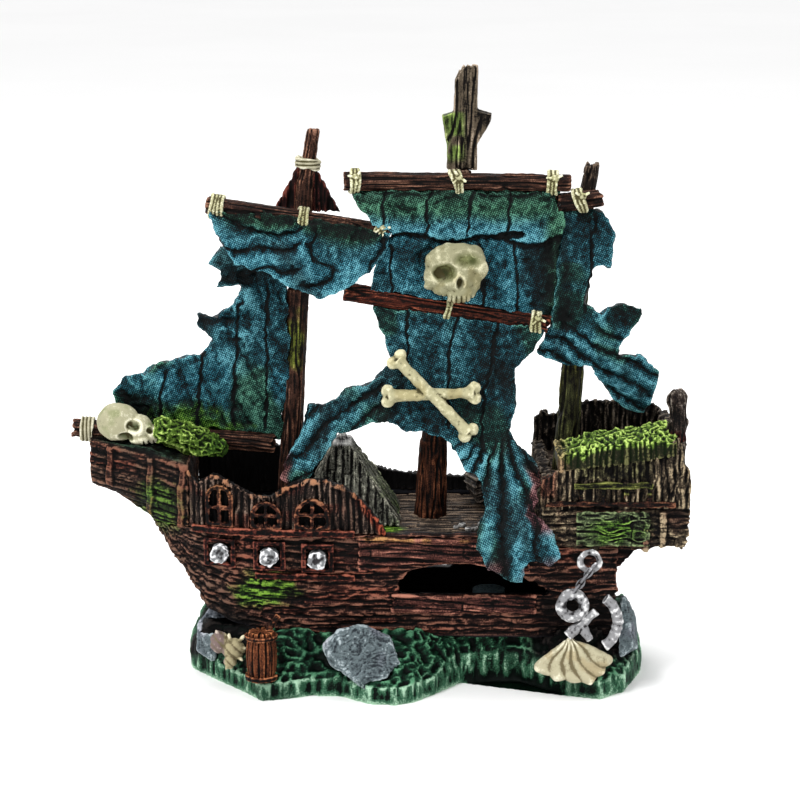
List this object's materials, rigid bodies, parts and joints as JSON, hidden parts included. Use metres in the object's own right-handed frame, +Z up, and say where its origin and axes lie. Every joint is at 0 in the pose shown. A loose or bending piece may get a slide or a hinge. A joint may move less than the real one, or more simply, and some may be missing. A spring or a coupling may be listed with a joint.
{
  "type": "aquarium air ornament",
  "caption": "Cast-resin sailing-ship wreck ornament on a mossy base, with a swim-through hull and a rear nipple that feeds a hidden air stone.",
  "frame": {"origin": "on the flat underside of the base, under the middle of the hull", "axes": "+X towards the stern, -Y towards the front, +Z up"},
  "size_m": [0.1682, 0.077, 0.1675],
  "materials": {
    "mossy_base": "dark green painted resin, dry-brushed light green",
    "stone_grey": "grey painted resin",
    "shell_cream": "cream painted resin with a brown wash",
    "cask_brown": "orange-brown painted resin",
    "silver_paint": "silver painted resin",
    "hull_wood": "dark red-brown painted resin, black in the grooves",
    "hull_trim": "red-brown painted resin with bright edges",
    "castle_wood": "dark olive-brown painted resin",
    "deck_grey": "grey-brown painted resin",
    "spar_brown": "brown painted resin, grained",
    "spar_olive": "olive-brown painted resin, grained",
    "sail_blue": "teal-blue dry-brush over near-black resin",
    "rope_cream": "cream painted resin",
    "bone_cream": "cream painted resin with green tints",
    "moss_lime": "lime green painted resin",
    "air_plastic": "clear-white moulded plastic",
    "air_mineral": "sintered porous mineral"
  },
  "bodies": {
    "root": {"base": "mossy_base", "rock_front": "stone_grey", "side_rocks": "stone_grey", "conch_shell": "shell_cream", "scallop_shell": "shell_cream", "barrel": "cask_brown", "barrel_hoops": "cask_brown", "barrel_stave": "cask_brown", "hawse_ring": "silver_paint", "anchor_chain": "silver_paint", "anchor_ring": "silver_paint", "anchor_stock": "silver_paint", "anchor_arms": "silver_paint", "lower_hull": "hull_wood", "beak": "hull_wood", "bulwark_near": "hull_wood", "bulwark_far": "hull_wood", "main_deck": "deck_grey", "waist_strake": "hull_trim", "wales": "hull_trim", "window_frames": "hull_trim", "gunport_frames": "hull_trim", "cannons": "silver_paint", "castle_side_near": "castle_wood", "castle_side_far": "castle_wood", "transom": "castle_wood", "castle_front": "castle_wood", "poop_deck": "deck_grey", "stern_counter": "hull_wood", "stern_roof": "moss_lime", "stern_door": "castle_wood", "castle_rails": "castle_wood", "taffrail_post": "castle_wood", "deckhouse": "deck_grey", "deck_barrel": "deck_grey", "silver_coins": "silver_paint", "fore_mast": "spar_brown", "shroud_plate": "hull_trim", "spar_bands": "rope_cream", "main_mast": "spar_brown", "main_top": "spar_brown", "mizzen_mast": "spar_olive", "bowsprit": "spar_brown", "fore_yard": "spar_brown", "topsail_yard": "spar_brown", "main_yard": "spar_brown", "mizzen_yard": "spar_brown", "fore_course": "sail_blue", "jib": "sail_blue", "main_topsail": "sail_blue", "main_course": "sail_blue", "mizzen_sail": "sail_blue", "yard_lashings": "rope_cream", "skull_emblem": "bone_cream", "crossbones": "bone_cream", "figurehead_skull": "bone_cream", "moss_bow": "moss_lime", "air_inlet": "air_plastic", "air_tube": "air_plastic", "air_stone": "air_mineral"}
  },
  "joints": []
}
